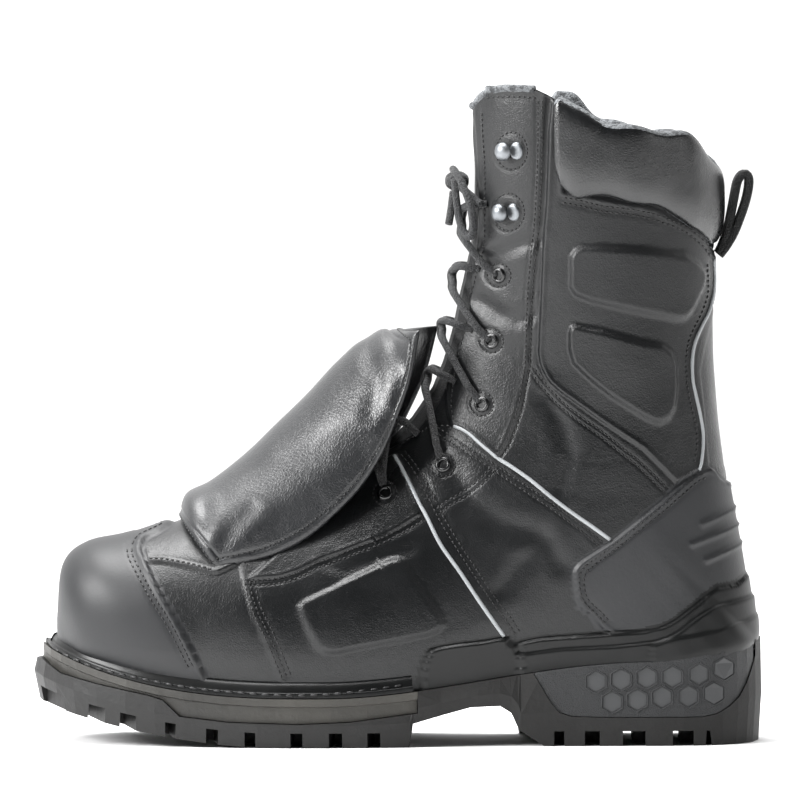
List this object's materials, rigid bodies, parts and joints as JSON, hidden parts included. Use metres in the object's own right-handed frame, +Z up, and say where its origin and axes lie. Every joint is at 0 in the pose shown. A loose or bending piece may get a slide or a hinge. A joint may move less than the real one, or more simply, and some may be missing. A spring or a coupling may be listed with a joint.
{
  "type": "safety boot",
  "caption": "Lace-up safety work boot for the left foot, with a padded metatarsal guard, bumper toe, padded collar, pull loop and lugged sole with a stepped heel.",
  "frame": {"origin": "centre of the bounding box, on the floor under the sole", "axes": "-X towards the toe, +X towards the heel, -Y the outer side of the foot, +Z up"},
  "size_m": [0.32, 0.1117, 0.2867],
  "materials": {
    "upper_leather": "matte",
    "guard_leather": "semi-gloss",
    "toe_rubber": "matte",
    "sole_rubber": "semi-gloss",
    "insert_rubber": "matte",
    "midsole_foam": "matte",
    "welt_rubber": "gloss",
    "insole_cloth": "matte",
    "tongue_cloth": "matte",
    "webbing": "matte",
    "eyelet": "gloss",
    "hook_steel": "satin",
    "lace": "matte"
  },
  "bodies": {
    "root": {"upper": "upper_leather", "toe_cap": "toe_rubber", "heel_counter": "toe_rubber", "backstay": "upper_leather", "eyestay_outer": "upper_leather", "eyestay_inner": "upper_leather", "heel_cup": "sole_rubber", "waist_wing_outer": "sole_rubber", "waist_wing_inner": "sole_rubber", "outsole": "sole_rubber", "heel_insert": "insert_rubber", "midsole": "midsole_foam", "welt": "welt_rubber", "insole": "insole_cloth", "tongue": "tongue_cloth", "met_guard": "guard_leather", "collar": "guard_leather", "pull_loop": "webbing", "eyelet_outer_1": "eyelet", "eyelet_outer_2": "eyelet", "eyelet_outer_3": "eyelet", "eyelet_outer_4": "eyelet", "eyelet_outer_5": "eyelet", "eyelet_inner_1": "eyelet", "eyelet_inner_2": "eyelet", "eyelet_inner_3": "eyelet", "eyelet_inner_4": "eyelet", "eyelet_inner_5": "eyelet", "hook_outer_1": "hook_steel", "hook_outer_2": "hook_steel", "hook_inner_1": "hook_steel", "hook_inner_2": "hook_steel", "laces": "lace", "lace_knot": "lace", "lace_loop_outer": "lace", "lace_loop_inner": "lace", "lace_end_outer": "lace", "lace_end_inner": "lace"}
  },
  "joints": []
}
